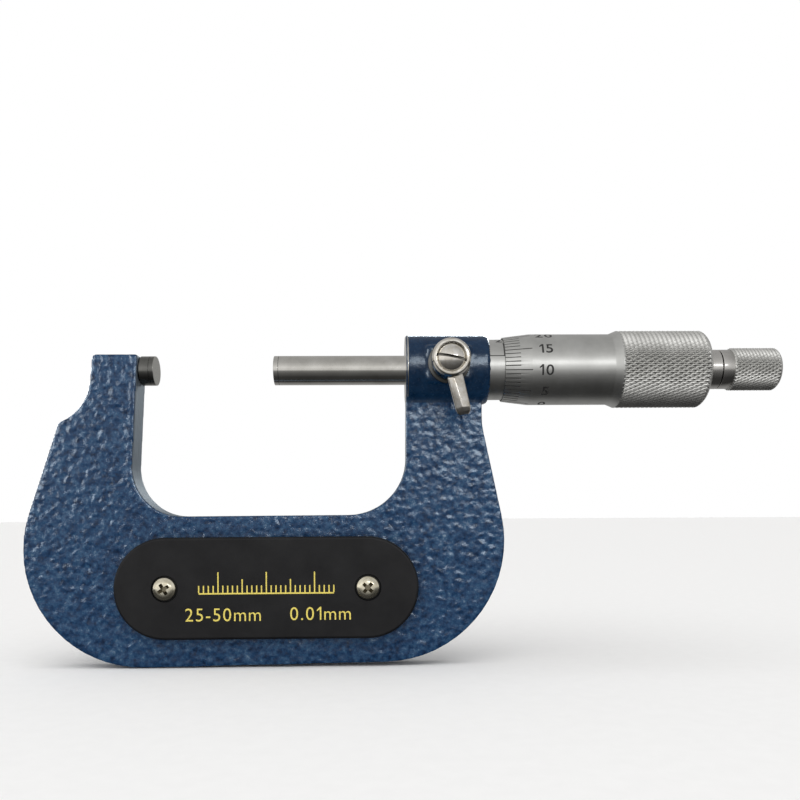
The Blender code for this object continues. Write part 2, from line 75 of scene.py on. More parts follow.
ANVIL_LOW, ANVIL_HIGH = span("anvil")
TIP_LOW, TIP_HIGH = span("spindle_tip")
SPINDLE_LOW, SPINDLE_HIGH = span("spindle")
FRAME_LOW, FRAME_HIGH = span("frame")
SLEEVE_LOW, SLEEVE_HIGH = span("outer_sleeve")
THIMBLE_LOW, THIMBLE_HIGH = span("thimble")
SHAFT_HIGH = span("ratchet_shaft")[1]
KNOB_LOW, KNOB_HIGH = span("ratchet_knob")
END_SCREW_LOW, END_SCREW_HIGH = span("ratchet_end_screw")
LEVER_LOW, LEVER_HIGH = span("lock_lever")
LOCK_SCREW_LOW, LOCK_SCREW_HIGH = span("lock_screw")
PLATE_LOW, PLATE_HIGH = span("front_plate")

SPINDLE_R = TIP_HIGH.z
SLEEVE_R = SLEEVE_HIGH.z
GRIP_R = THIMBLE_HIGH.z
THIMBLE_R = GRIP_R - 0.7
THIMBLE_EDGE = THIMBLE_LOW.x
BOSS_R = FRAME_HIGH.z
BOSS_START = 53.1
THROAT_FLOOR = -31.1
THROAT_FILLET = 10.3
LOCK_X = (LOCK_SCREW_LOW.x + LOCK_SCREW_HIGH.x) / 2
LOCK_Z = (LOCK_SCREW_LOW.z + LOCK_SCREW_HIGH.z) / 2


# ---------------------------------------------------------------- mesh helpers

def link(obj):
    bpy.context.scene.collection.objects.link(obj)
    return obj


def finish_mesh(mesh, sharp=35):
    """Outward normals, and smooth shading with the sharp edges kept."""
    cage = bmesh.new()
    cage.from_mesh(mesh)
    bmesh.ops.remove_doubles(cage, verts=cage.verts, dist=1e-8)
    bmesh.ops.recalc_face_normals(cage, faces=cage.faces)
    cage.to_mesh(mesh)
    cage.free()
    mesh.shade_smooth()
    mesh.set_sharp_from_angle(angle=math.radians(sharp))


def piece(name, points, faces, finishes, ink_faces=None, place=ALONG_X, sharp=35):
    """A mesh object from points in mm, with its finishes and, per face, which one it has."""
    mesh = bpy.data.meshes.new(name)
    mesh.from_pydata([Vector(p) * MM for p in points], [], faces)
    for finish in finishes:
        mesh.materials.append(finish)
    if ink_faces is not None:
        mesh.polygons.foreach_set("material_index", ink_faces)
    mesh.transform(place)
    finish_mesh(mesh, sharp)
    return link(bpy.data.objects.new(name, mesh))


def rounded(corners, closed=True, step=15):
    """Rows (x, radius) of a turned outline whose corners (x, radius, fillet) are rounded."""
    rows = []
    count = len(corners)
    for i, (x, radius, fillet) in enumerate(corners):
        corner = Vector((x, radius))
        is_end = not closed and i in (0, count - 1)
        if fillet == 0 or is_end:
            rows.append(corner)
            continue
        back = (Vector(corners[i - 1][:2]) - corner).normalized()
        ahead = (Vector(corners[(i + 1) % count][:2]) - corner).normalized()
        half = math.acos(max(-1.0, min(1.0, back.dot(ahead)))) / 2
        reach = fillet / math.tan(half)
        centre = corner + (back + ahead).normalized() * (fillet / math.sin(half))
        begin = corner + back * reach - centre
        turn = math.pi - 2 * half
        if back.x * ahead.y - back.y * ahead.x > 0:
            turn = -turn
        steps = max(2, round(math.degrees(abs(turn)) / step))
        rows.append(corner + back * (reach + HOLD))
        for k in range(steps + 1):
            rows.append(centre + Matrix.Rotation(turn * k / steps, 2) @ begin)
        rows.append(corner + ahead * (reach + HOLD))
    return rows


def with_stops(rows, places, above):
    """The rows with one more at each place along X, where the outline is outside a radius."""
    result = []
    for here, there in zip(rows, rows[1:] + rows[:1]):
        result.append(here)
        if min(here[1], there[1]) <= above:
            continue
        low, high = sorted((here[0], there[0]))
        inside = [x for x in places if low + 1e-4 < x < high - 1e-4]
        for x in sorted(inside, reverse=here[0] > there[0]):
            share = (x - here[0]) / (there[0] - here[0])
            result.append(Vector((x, here[1] + share * (there[1] - here[1]))))
    return result


def revolve(name, rows, finishes, angles=128, closed=True, dent=None, place=ALONG_X, sharp=35):
    """A turned piece. dent(x, radius, angle) is how deep its surface is cut there, in mm."""
    if isinstance(angles, int):
        angles = [math.tau * k / angles for k in range(angles)]
    points = []
    deep = []
    for x, radius in rows:
        for angle in angles:
            cut = dent(x, radius, angle) if dent else 0.0
            deep.append(cut > 0)
            r = radius - cut
            points.append((x, -r * math.cos(angle), r * math.sin(angle)))
    columns = len(angles)
    last = len(rows) if closed else len(rows) - 1
    faces = []
    inked = []
    for i in range(last):
        j = (i + 1) % len(rows)
        for k in range(columns):
            m = (k + 1) % columns
            corner = (i * columns + k, i * columns + m, j * columns + m, j * columns + k)
            faces.append(corner)
            inked.append(int(any(deep[c] for c in corner)))
    shown = inked if dent and len(finishes) > 1 else None
    return piece(name, points, faces, finishes, shown, place, sharp)


def cut(obj, cutters):
    """Applies Booleans to a piece and removes the cutters."""
    for cutter in cutters:
        step = obj.modifiers.new(cutter.name, "BOOLEAN")
        step.operation = "DIFFERENCE"
        step.material_mode = "TRANSFER"
        step.object = cutter
    applied(obj)
    for cutter in cutters:
        bpy.data.objects.remove(cutter)
    return obj


def applied(obj):
    """Replaces the piece's mesh by the one its modifiers make."""
    bpy.context.view_layer.update()
    ready = obj.evaluated_get(bpy.context.evaluated_depsgraph_get())
    mesh = bpy.data.meshes.new_from_object(ready)
    obj.modifiers.clear()
    obj.data = mesh
    return obj


def tapered_bar(name, length, width, depth, narrow, top, place, finish):
    """A cutter for slots and cross recesses: a bar along local Z, narrower at its bottom."""
    mesh = bpy.data.meshes.new(name)
    cage = bmesh.new()
    bmesh.ops.create_cube(cage, size=1.0)
    for vert in cage.verts:
        shrink = narrow if vert.co.x < 0 else 1.0
        vert.co = Vector((
            (top + (vert.co.x - 0.5) * depth) * MM,
            vert.co.y * width * (0.5 + 0.5 * shrink) * MM,
            vert.co.z * length * shrink * MM))
    cage.to_mesh(mesh)
    cage.free()
    mesh.transform(place)
    mesh.materials.append(finish)
    return link(bpy.data.objects.new(name, mesh))


# ---------------------------------------------------------------- materials

class Shade:
    """A small builder for one procedural material."""

    def __init__(self, name, colour, roughness, metallic=0.0, **sockets):
        self.material = bpy.data.materials.new(name)
        self.material.use_nodes = True
        self.tree = self.material.node_tree
        self.shader = self.tree.nodes["Principled BSDF"]
        self.set("Base Color", (*colour, 1.0))
        self.set("Roughness", roughness)
        self.set("Metallic", metallic)
        for socket, value in sockets.items():
            self.set(socket.replace("_", " "), value)
        self.place = self.node("ShaderNodeTexCoord").outputs["Object"]
        self.normal = None

    def set(self, socket, value):
        self.shader.inputs[socket].default_value = value

    def node(self, kind, inputs=None):
        made = self.tree.nodes.new(kind)
        for socket, value in (inputs or {}).items():
            if isinstance(value, bpy.types.NodeSocket):
                self.tree.links.new(value, made.inputs[socket])
            else:
                made.inputs[socket].default_value = value
        return made

    def noise(self, scale, detail=2.0, roughness=0.5, stretch=(1, 1, 1)):
        """Noise whose scale is in waves per mm, stretched along the axes."""
        spread = self.node("ShaderNodeMapping", {
            "Vector": self.place, "Scale": [scale / MM * s for s in stretch]})
        return self.node("ShaderNodeTexNoise", {
            "Vector": spread.outputs["Vector"], "Scale": 1.0, "Detail": detail,
            "Roughness": roughness}).outputs["Fac"]

    def ramp(self, factor, *stops):
        """Stops are (place, colour or grey)."""
        made = self.node("ShaderNodeValToRGB", {"Fac": factor})
        elements = made.color_ramp.elements
        while len(elements) < len(stops):
            elements.new(0.5)
        for element, (place, value) in zip(elements, stops):
            element.position = place
            colour = value if isinstance(value, tuple) else (value,) * 3
            element.color = (*colour, 1.0)
        return made.outputs["Color"]

    def bump(self, height, distance, strength=1.0):
        """Adds a bump whose full height is a distance in mm."""
        inputs = {"Height": height, "Distance": distance * MM, "Strength": strength}
        if self.normal:
            inputs["Normal"] = self.normal
        self.normal = self.node("ShaderNodeBump", inputs).outputs["Normal"]
        self.tree.links.new(self.normal, self.shader.inputs["Normal"])

    def drive(self, socket, value):
        self.tree.links.new(value, self.shader.inputs[socket])


def turned_metal(name, dark, light, rough_low, rough_high, ring_depth, wave=9.0):
    """Metal finished on a lathe or grinder: fine rings across the axis and faint stains."""
    shade = Shade(name, light, rough_low, 1.0)
    rings = shade.noise(wave, 3.0, 0.6, (1.0, 0.02, 0.02))
    stains = shade.noise(0.25, 4.0, 0.6)
    shade.drive("Base Color", shade.ramp(stains, (0.35, dark), (0.65, light)))
    shade.drive("Roughness", shade.ramp(rings, (0.3, rough_low), (0.7, rough_high)))
    shade.bump(rings, ring_depth)
    return shade


def ground_steel():
    return turned_metal(
        "ground_steel", (0.53, 0.52, 0.49), (0.64, 0.63, 0.60), 0.06, 0.13, 0.0009, 14.0).material


def satin_chrome():
    return turned_metal(
        "satin_chrome", (0.58, 0.585, 0.57), (0.66, 0.665, 0.65), 0.30, 0.40, 0.002, 7.0).material


def knurled_chrome():
    return turned_metal(
        "knurled_chrome", (0.66, 0.66, 0.64), (0.80, 0.80, 0.78), 0.32, 0.44, 0.001).material


def polished_nickel():
    shade = Shade("polished_nickel", (0.74, 0.72, 0.68), 0.12, 1.0)
    stains = shade.noise(0.6, 4.0, 0.6)
    shade.drive("Base Color", shade.ramp(
        stains, (0.3, (0.58, 0.54, 0.47)), (0.65, (0.80, 0.785, 0.75))))
    scratches = shade.noise(3.0, 3.0, 0.7, (1.0, 1.0, 0.15))
    shade.drive("Roughness", shade.ramp(scratches, (0.3, 0.08), (0.75, 0.22)))
    shade.bump(scratches, 0.002)
    return shade.material


def screw_nickel():
    shade = Shade("screw_nickel", (0.72, 0.69, 0.60), 0.2, 1.0)
    stains = shade.noise(1.2, 4.0, 0.6)
    shade.drive("Base Color", shade.ramp(
        stains, (0.3, (0.68, 0.62, 0.47)), (0.7, (0.93, 0.89, 0.74))))
    shade.drive("Roughness", shade.ramp(shade.noise(4.0), (0.3, 0.14), (0.7, 0.3)))
    shade.bump(shade.noise(2.0, 3.0), 0.004)
    return shade.material


def carbide():
    shade = Shade("carbide", (0.50, 0.50, 0.47), 0.3, 1.0)
    lapping = shade.noise(6.0, 4.0, 0.7)
    shade.drive("Base Color", shade.ramp(
        lapping, (0.3, (0.45, 0.45, 0.42)), (0.7, (0.54, 0.54, 0.51))))
    shade.drive("Roughness", shade.ramp(lapping, (0.3, 0.24), (0.7, 0.36)))
    shade.bump(lapping, 0.001)
    return shade.material


def blue_enamel():
    """Hammered enamel: mottled blue with darker veins, and pale patches that are painted glints.
    """
    shade = Shade("blue_enamel", (0.008, 0.035, 0.09), 0.2)
    shade.set("Specular IOR Level", 0.28)
    mottle = shade.noise(0.8, 5.0, 0.68)
    # The palest stop makes the pale patches: painted glints, spread at random over the enamel.
    shade.drive("Base Color", shade.ramp(
        mottle, (0.32, (0.001, 0.011, 0.038)), (0.48, (0.007, 0.034, 0.092)),
        (0.62, (0.024, 0.070, 0.145)), (0.74, (0.12, 0.18, 0.25))))
    grain = shade.noise(1.2, 4.0, 0.62)
    shade.drive("Roughness", shade.ramp(grain, (0.3, 0.14), (0.7, 0.26)))
    shade.bump(grain, 0.09)
    return shade.material


def smooth_enamel():
    """The same enamel where it lies smooth, on the boss."""
    shade = Shade("smooth_enamel", (0.002, 0.014, 0.052), 0.2)
    shade.set("Specular IOR Level", 0.24)
    clouds = shade.noise(0.5, 5.0, 0.65)
    shade.drive("Base Color", shade.ramp(
        clouds, (0.3, (0.001, 0.013, 0.039)), (0.7, (0.006, 0.026, 0.064))))
    shade.drive("Roughness", shade.ramp(shade.noise(1.5, 3.0), (0.3, 0.18), (0.7, 0.30)))
    shade.bump(shade.noise(0.8, 3.0), 0.05)
    return shade.material


def milled_side():
    """Grey side of the throat, with fine streaks across the casting."""
    shade = Shade("milled_side", (0.08, 0.095, 0.115), 0.6)
    shade.set("Specular IOR Level", 0.1)
    streaks = shade.noise(2.6, 3.0, 0.7, (1.0, 1.0, 0.06))
    shade.drive("Base Color", shade.ramp(
        streaks, (0.3, (0.045, 0.057, 0.072)), (0.7, (0.115, 0.138, 0.165))))
    shade.drive("Roughness", shade.ramp(streaks, (0.3, 0.55), (0.7, 0.7)))
    shade.bump(streaks, 0.02)
    return shade.material


def black_plastic():
    shade = Shade("black_plastic", (0.006, 0.006, 0.007), 0.36)
    shade.set("Specular IOR Level", 0.28)
    grain = shade.noise(5.0, 3.0, 0.6)
    clouds = shade.noise(0.15, 4.0, 0.6)
    shade.drive("Base Color", shade.ramp(
        clouds, (0.3, (0.004, 0.004, 0.005)), (0.7, (0.010, 0.010, 0.011))))
    shade.drive("Roughness", shade.ramp(grain, (0.3, 0.32), (0.7, 0.46)))
    shade.bump(grain, 0.006)
    return shade.material


def ink(name, colour):
    shade = Shade(name, colour, 0.5)
    wear = shade.noise(3.0, 4.0, 0.7)
    faded = tuple(c * 0.7 + 0.02 for c in colour)
    shade.drive("Base Color", shade.ramp(wear, (0.35, faded), (0.6, colour)))
    shade.drive("Roughness", shade.ramp(wear, (0.3, 0.4), (0.7, 0.6)))
    shade.bump(wear, 0.003)
    return shade.material


def plain_metal(name, colour):
    """Turned or drawn metal of the pieces inside; also the darker metal on the walls of slots and
    cross recesses, which is painted shade.
    """
    shade = Shade(name, colour, 0.3, 1.0)
    stains = shade.noise(1.0, 4.0, 0.6)
    dark = tuple(c * 0.8 for c in colour)
    shade.drive("Base Color", shade.ramp(stains, (0.3, dark), (0.7, colour)))
    shade.drive("Roughness", shade.ramp(shade.noise(5.0), (0.3, 0.22), (0.7, 0.4)))
    shade.bump(shade.noise(5.0, 3.0), 0.003)
    return shade.material


def floor_paper():
    shade = Shade("floor_paper", (0.92, 0.92, 0.92), 0.7)
    fibres = shade.noise(0.3, 4.0, 0.6)
    shade.drive("Base Color", shade.ramp(
        fibres, (0.3, (0.91, 0.91, 0.91)), (0.7, (0.93, 0.93, 0.93))))
    shade.set("Specular IOR Level", 0.1)
    return shade.material


STEEL = ground_steel()
CHROME = satin_chrome()
KNURL = knurled_chrome()
NICKEL = polished_nickel()
SCREWS = screw_nickel()
CARBIDE = carbide()
ENAMEL = blue_enamel()
BOSS_ENAMEL = smooth_enamel()
MILLED = milled_side()
# Darker metal for the walls of the screw slots and cross recesses: painted shade in these
# recesses.
SLOT_SHADE = plain_metal("recess_painted_shade", (0.10, 0.095, 0.085))
CROSS_SHADE = plain_metal("cross_painted_shade", (0.28, 0.25, 0.18))
# Dark steel: the anvil's side, darker than the spindle, and the lock flange, whose dark colour is
# painted shade under the hub.
DARK_STEEL_AND_SHADE = turned_metal(
    "dark_steel_and_shade", (0.13, 0.13, 0.125), (0.19, 0.19, 0.18), 0.16, 0.26, 0.0015).material
NECK_STEEL = turned_metal(
    "neck_steel", (0.56, 0.55, 0.53), (0.70, 0.69, 0.67), 0.16, 0.28, 0.0012).material
PLASTIC = black_plastic()
# Black ink of the scales and numbers; the walls of the sleeve's hole take it too, as painted
# shade.
BLACK_INK_AND_SHADE = ink("black_ink_and_shade", (0.012, 0.012, 0.012))
YELLOW_INK = ink("yellow_ink", (0.84, 0.69, 0.13))


# ---------------------------------------------------------------- frame casting

def smooth_step(value, low, high):
    share = np.clip((value - low) / (high - low), 0.0, 1.0)
    return share * share * (3 - 2 * share)


def hammered(place):
    """Height of the hammered enamel, 0 to 1: irregular lumps with pits between them."""
    bent = place + 0.45 * noise.noise_vector(place * 0.7)
    near = noise.voronoi(bent * 0.50)[0]
    lumps = min(1.0, 1.4 * (near[1] - near[0]))
    waves = 0.5 + 0.5 * noise.noise(bent * 0.72)
    fine = 0.5 + 0.5 * noise.noise(bent * 1.5)
    return 0.35 * (1 - lumps) + 0.40 * waves + 0.25 * fine


def throat_rim(place):
    """1 on the flatter rim round the throat's left side and corner, falling to 0 further out."""
    x, z = place[:, 0], place[:, 2]
    left = np.interp(z, (THROAT_FLOOR, 3.0), (-4.9, -3.12))
    centre_z = THROAT_FLOOR + THROAT_FILLET
    reach = THROAT_FILLET + 0.05
    bend = np.clip((centre_z - z) / reach, 0.0, 1.0)
    left = left + THROAT_FILLET * (1 - np.sqrt(1 - bend * bend))
    near = left - x
    return smooth_step(-near, -1.7, -0.7) * (x < 6.0)


def make_frame():
    """The casting: soft edges, hammered flats and smooth boss and sides."""
    cast = link(bpy.data.objects.new("frame_casting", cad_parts["frame"].data.copy()))
    grid = cast.modifiers.new("grid", "REMESH")
    grid.mode = "VOXEL"
    grid.voxel_size = 0.27 * MM
    soft = cast.modifiers.new("soft", "SMOOTH")
    soft.factor = 0.5
    soft.iterations = 8
    applied(cast)
    mesh = cast.data
    count = len(mesh.vertices)
    place = np.zeros(count * 3)
    mesh.vertices.foreach_get("co", place)
    place = place.reshape(-1, 3) / MM
    normal = np.zeros(count * 3)
    mesh.vertices.foreach_get("normal", normal)
    normal = normal.reshape(-1, 3)
    flat = 0.12 + 0.88 * smooth_step(np.abs(normal[:, 1]), 0.55, 0.9)
    boss = smooth_step(place[:, 2], -8.2, -6.2) * smooth_step(place[:, 0], 51.0, 52.5)
    depth = 0.38 * flat * (1 - 0.78 * boss) * (1 - 0.5 * throat_rim(place))
    noise.seed_set(HAMMER_SEED)
    height = np.array([hammered(Vector(p)) for p in place])
    place -= normal * (depth * (1 - height))[:, None]
    mesh.vertices.foreach_set("co", (place * MM).ravel())
    mesh.materials.clear()
    for finish in (ENAMEL, BOSS_ENAMEL, MILLED):
        mesh.materials.append(finish)
    for face in mesh.polygons:
        centre = face.center / MM
        in_throat = -6.0 < centre.x < BOSS_START and centre.z > THROAT_FLOOR - 0.5
        if centre.z > -7.4 and centre.x > BOSS_START - 0.3:
            face.material_index = 1
        elif in_throat and abs(face.normal.y) < 0.62 and (centre.x > -3.4 or face.normal.x > 0.6):
            face.material_index = 2
    mesh.shade_smooth()
    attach(cast, "frame")
    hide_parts("frame")
    enamelled = bpy.data.collections.new("enamelled")
    enamelled.objects.link(cast)
    ring = revolve("boss_face", rounded([
        (BOSS_START - 0.05, SPINDLE_R + 0.3, 0.08), (BOSS_START - 0.05, BOSS_R - 0.4, 0.1),
        (BOSS_START + 0.5, BOSS_R + 0.03, 0.1), (BOSS_START + 0.65, BOSS_R - 0.1, 0),
        (BOSS_START + 0.65, SPINDLE_R + 0.3, 0)]), [STEEL])
    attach(ring, "frame")


# ---------------------------------------------------------------- anvil and spindle

def keep(obj, body, slot, *nodes):
    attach(obj, body)
    if nodes:
        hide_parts(*nodes)
    return obj


def side_band(obj, finish):
    """Gives a turned piece's round side a finish of its own."""
    obj.data.materials.append(finish)
    for face in obj.data.polygons:
        if abs(face.normal.x) < 0.3:
            face.material_index = 1


def make_anvil():
    left, right = ANVIL_LOW.x, ANVIL_HIGH.x
    anvil = revolve("anvil_pin", rounded([
        (right, 0, 0), (right, SPINDLE_R, 0.05), (right - 2.0, SPINDLE_R, 0.1),
        (right - 2.0, 2.0, 0), (left, 2.0, 0.3), (left, 0, 0)], closed=False),
        [DARK_STEEL_AND_SHADE], 160, closed=False)
    keep(anvil, "frame", "ground_steel", "anvil")
    tip = revolve("anvil_face", rounded([
        (0, 0, 0), (0, SPINDLE_R, 0.12), (-1.0, SPINDLE_R, 0.02), (-1.0, 0, 0)], closed=False),
        [CARBIDE], 160, closed=False)
    side_band(tip, DARK_STEEL_AND_SHADE)
    keep(tip, "frame", "carbide", "anvil_tip")


def make_spindle():
    """The ground shank, and its screw, whose 0.5 mm thread is drawn as separate rings."""
    thread_start, thread_end = 66.4, 108.6
    crest, root, pitch = 3.5, 3.22, 0.5
    left, right = SPINDLE_LOW.x, SPINDLE_HIGH.x
    thread = []
    for k in range(round((thread_end - thread_start) / pitch)):
        x = thread_start + k * pitch
        thread += [(x, root, 0), (x + 0.19, crest, 0), (x + 0.31, crest, 0)]
    shank = rounded([
        (left, 0, 0), (left, SPINDLE_R, 0.05), (thread_start - 0.5, SPINDLE_R, 0)]
        + thread + [(thread_end, 3.1, 0), (right - 4.6, 3.1, 0), (right - 4.6, 3.5, 0),
                    (right, 2.9, 0.1), (right, 1.8, 0), (right - 8.6, 1.8, 0),
                    (right - 9.0, 0, 0)], closed=False)
    spindle = revolve("spindle_shank", shank, [STEEL], 144, closed=False)
    keep(spindle, "thimble", "ground_steel", "spindle")
    near, far = TIP_LOW.x, TIP_HIGH.x
    tip = revolve("spindle_face", rounded([
        (far, 0, 0), (far, SPINDLE_R, 0.02), (near, SPINDLE_R, 0.12), (near, 0, 0)],
        closed=False), [CARBIDE], 160, closed=False)
    side_band(tip, STEEL)
    keep(tip, "feed", "carbide", "spindle_tip")


# ---------------------------------------------------------------- scales

LINE_HALF = 0.095
LINE_FLOOR = 0.05
LINE_DEPTH = 0.04


def line_columns(centre, radius):
    """Angles of a line's two edges and of its floor."""
    wide = LINE_HALF / radius
    narrow = LINE_FLOOR / radius
    return [centre - wide, centre - narrow, centre + narrow, centre + wide]


DIGIT_HEIGHT = 0.70


def glyph(character, weight):
    """One flat character with a little thickness: the built-in font's, or a flagged 1."""
    if character == "1":
        curve = bpy.data.curves.new("glyph", "CURVE")
        curve.dimensions = "2D"
        curve.fill_mode = "BOTH"
        half = 0.045 + weight
        outline = [(0.30 + half, -weight), (0.30 + half, DIGIT_HEIGHT + weight),
                   (0.31 - half, DIGIT_HEIGHT + weight), (0.10, 0.53 + weight),
                   (0.10, 0.45 - weight), (0.30 - half, 0.56 - weight), (0.30 - half, -weight)]
        spline = curve.splines.new("POLY")
        spline.points.add(len(outline) - 1)
        for point, (x, y) in zip(spline.points, outline):
            point.co = (x, y, 0.0, 1.0)
        spline.use_cyclic_u = True
    else:
        curve = bpy.data.curves.new("glyph", "FONT")
        curve.body = character
        curve.resolution_u = 4
        curve.offset = weight
    curve.extrude = 0.01
    drawn = bpy.data.objects.new("glyph", curve)
    mesh = bpy.data.meshes.new_from_object(drawn)
    bpy.data.objects.remove(drawn)
    return mesh


def letters(name, words, height, finish, wrap, weight=0.012, gap=0.13, wide=1.14):
    """Raised ink characters. words are (text, x, y); wrap puts a point (x, y, out) in place."""
    points = []
    faces = []
    thickness = 0.03
    scale = height / DIGIT_HEIGHT
    for text, x, y in words:
        cages = []
        pen = 0.0
        for character in text:
            cage = bmesh.new()
            cage.from_mesh(glyph(character, weight))
            bmesh.ops.remove_doubles(cage, verts=cage.verts, dist=1e-5)
            left = min(vert.co.x for vert in cage.verts)
            right = max(vert.co.x for vert in cage.verts)
            bmesh.ops.translate(cage, vec=(pen - left, 0, 0), verts=cage.verts)
            pen += right - left + gap
            cages.append(cage)
        middle = (pen - gap) / 2
        for cage in cages:
            for k in range(1, 12):
                bmesh.ops.bisect_plane(
                    cage, geom=cage.verts[:] + cage.edges[:] + cage.faces[:], dist=1e-6,
                    plane_co=(0, DIGIT_HEIGHT * k / 12, 0), plane_no=(0, 1, 0))
            cage.verts.index_update()
            start = len(points)
            for vert in cage.verts:
                out = thickness if vert.co.z > 0 else -thickness
                points.append(wrap(x + (vert.co.x - middle) * scale * wide,
                                   y + (vert.co.y - DIGIT_HEIGHT / 2) * scale, out / 2))
            faces += [[start + vert.index for vert in face.verts] for face in cage.faces]
            cage.free()
    return piece(name, points, faces, [finish])


def around(radius):
    """Wraps (x, angle in degrees times radius, out) on a cylinder."""
    def wrap(x, y, out):
        r = radius + out
        angle = y / radius
        return (x, -r * math.cos(angle), r * math.sin(angle))
    return wrap


def make_sleeve():
    """Outer sleeve with its index line, millimetre and half-millimetre marks and numbers."""
    left, right = SLEEVE_LOW.x, SLEEVE_HIGH.x
    bore = 5.1
    index = math.radians(INDEX_ANGLE)
    long_end = index + math.radians(34)
    short_end = index + math.radians(22)
    half_end = index - math.radians(20)
    first = THIMBLE_EDGE - (READING - RANGE_LOW)
    marks = []
    for k in range(2 * (RANGE_HIGH - RANGE_LOW) + 1):
        x = first + k / 2
        if k % 2:
            marks.append((x, half_end, index))
        elif k % 10:
            marks.append((x, index, short_end))
        else:
            marks.append((x, index, long_end))
    stops = []
    for x, _, _ in marks:
        stops += [x - LINE_HALF, x - LINE_FLOOR, x + LINE_FLOOR, x + LINE_HALF]
    rows = with_stops(rounded([
        (left, SLEEVE_R, 0.05), (left, bore, 0), (right, bore, 0), (right, SLEEVE_R, 0.2)]),
        stops, bore + 0.5)
    angles = line_columns(index, SLEEVE_R)
    for end in (long_end, short_end, half_end):
        angles += [end, end + 0.01]
    for k in range(120):
        angle = math.tau * k / 120
        if min(abs(math.remainder(angle - a, math.tau)) for a in angles[:10]) > 0.02:
            angles.append(angle)
    angles = sorted(a % math.tau for a in angles)
    index_floor = LINE_FLOOR / SLEEVE_R + 1e-5

    def dent(x, radius, angle):
        if radius < SLEEVE_R - 0.06:
            return 0.0
        if abs(math.remainder(angle - index, math.tau)) < index_floor:
            return LINE_DEPTH
        k = round((x - first) * 2)
        if not 0 <= k < len(marks):
            return 0.0
        place, low, high = marks[k]
        turn = math.remainder(angle, math.tau)
        if abs(x - place) < LINE_FLOOR + 1e-4 and low - 1e-4 < turn < high + 1e-4:
            return LINE_DEPTH
        return 0.0

    sleeve = revolve("sleeve", rows, [CHROME, BLACK_INK_AND_SHADE], angles, dent=dent)
    # The hole's walls take the black ink: painted shade inside the hole.
    hole = revolve("hole", [(5.8, 0), (5.8, 0.6), (8, 0.6), (8, 0)], [BLACK_INK_AND_SHADE], 32, False,
                   place=Matrix.Translation((72.2 * MM, 0, 0)) @ TO_BACK)
    cut(sleeve, [hole])
    keep(sleeve, "sleeve", "satin_chrome", "outer_sleeve")
    up = SLEEVE_R * math.radians(INDEX_ANGLE + 46)
    words = [(str(n), first + n - RANGE_LOW, up)
             for n in range(RANGE_LOW, RANGE_HIGH + 1, 5)]
    numbers = letters("sleeve_numbers", words, 1.95, BLACK_INK_AND_SHADE, around(SLEEVE_R))
    keep(numbers, "sleeve", "satin_chrome")


def make_thimble():
    """Thimble body with its 50 engraved divisions, and the knurled grip behind it."""
    edge, bevel_end = THIMBLE_EDGE, THIMBLE_EDGE + 5.6
    bore = 6.6
    grip_start = 98.2
    ramp_start = 96.65
    body_end = grip_start + 1.0
    short_end, long_end = edge + 3.1, edge + 5.5
    step = math.tau / DIVISIONS
    zero = math.radians(INDEX_ANGLE) - step * ((READING % 0.5) * 100 % DIVISIONS)
    rows = with_stops(rounded([
        (edge, 6.8, 0.06), (edge, bore, 0.05), (body_end, bore, 0), (body_end, GRIP_R - 0.6, 0),
        (grip_start + 0.3, GRIP_R - 0.1, 0.1), (grip_start, GRIP_R - 0.05, 0.12),
        (ramp_start, THIMBLE_R, 0.4), (bevel_end, THIMBLE_R, 2.0)]),
        [short_end, short_end + 0.06, long_end, long_end + 0.06], bore + 0.05)
    angles = []
    for k in range(DIVISIONS):
        centre = zero + k * step
        lines = line_columns(centre, 7.0)
        angles += lines
        for part in (0.25, 0.5, 0.75):
            angles.append(centre + part * step)
    floor = LINE_FLOOR / 7.0 + 1e-5

    def dent(x, radius, angle):
        if radius < 6.7 or x > long_end + 1e-4:
            return 0.0
        k = round((angle - zero) / step)
        if abs(angle - zero - k * step) > floor:
            return 0.0
        if x < short_end + 1e-4 or k % 5 == 0:
            return LINE_DEPTH
        return 0.0

    body = revolve("thimble_body", rows, [CHROME, BLACK_INK_AND_SHADE], angles, dent=dent)
    keep(body, "thimble", "satin_chrome", "thimble")
    words = [(str(k), edge + 8.45, THIMBLE_R * (zero + k * step)) for k in range(0, DIVISIONS, 5)]
    numbers = letters("thimble_numbers", words, 2.15, BLACK_INK_AND_SHADE, around(THIMBLE_R))
    keep(numbers, "thimble", "satin_chrome")
    grip = knurled("thimble_grip", grip_start - 0.02, THIMBLE_HIGH.x, 4.2, GRIP_R, 54, 0.54,
                   0.30, start=(0.12, 0.05), end=(1.1, 0.85))
    keep(grip, "thimble", "satin_chrome")


# ---------------------------------------------------------------- knurls

